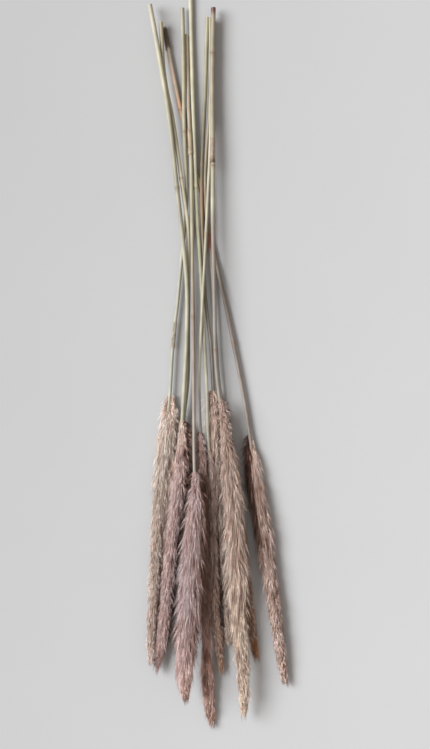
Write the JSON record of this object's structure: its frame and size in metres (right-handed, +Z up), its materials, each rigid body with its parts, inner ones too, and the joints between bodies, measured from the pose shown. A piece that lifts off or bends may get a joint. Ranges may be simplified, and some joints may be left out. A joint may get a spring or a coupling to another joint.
{
  "type": "dried fountain grass",
  "caption": "Loose bunch of dried fountain grass lying flat, with slim cut stems at one end and soft bristly plumes at the other.",
  "frame": {"origin": "bottom centre of the bunch's box, on the surface that it lies on", "axes": "+Y along the stems towards the cut ends, -Y towards the plumes' tips, +Z up from the surface, +X to the right as seen from above with the cut ends at the top"},
  "size_m": [0.1322, 0.7021, 0.0347],
  "materials": {
    "culm_cream": "dry straw, cream with a satin skin",
    "culm_green": "dry straw, faded green with a satin skin",
    "culm_pink": "dry straw, pinkish tan with a satin skin",
    "culm_tan": "dry straw, tan with a satin skin",
    "plume_cream": "soft matt bristles, cream",
    "plume_mauve": "soft matt bristles, dusty mauve",
    "plume_tan": "soft matt bristles, warm tan",
    "plume_brown": "soft matt bristles, red brown",
    "sheath_pink": "papery dry leaf sheath, pink tan",
    "sheath_orange": "papery dry leaf sheath, orange tan",
    "sheath_brown": "papery dry leaf sheath, dark brown"
  },
  "bodies": {
    "root": {"culm_01": "culm_cream", "culm_02": "culm_cream", "culm_03": "culm_green", "culm_04": "culm_pink", "culm_05": "culm_cream", "culm_06": "culm_green", "culm_07": "culm_tan", "culm_08": "culm_pink", "culm_09": "culm_tan", "culm_10": "culm_pink", "plume_01": "plume_cream", "plume_02": "plume_tan", "plume_03": "plume_mauve", "plume_04": "plume_mauve", "plume_05": "plume_brown", "plume_06": "plume_brown", "plume_07": "plume_cream", "plume_08": "plume_cream", "plume_09": "plume_brown", "plume_10": "plume_tan", "sheath_01": "sheath_pink", "sheath_04": "sheath_orange", "sheath_08": "sheath_pink", "sheath_10a": "sheath_brown", "sheath_10b": "sheath_brown"}
  },
  "joints": []
}
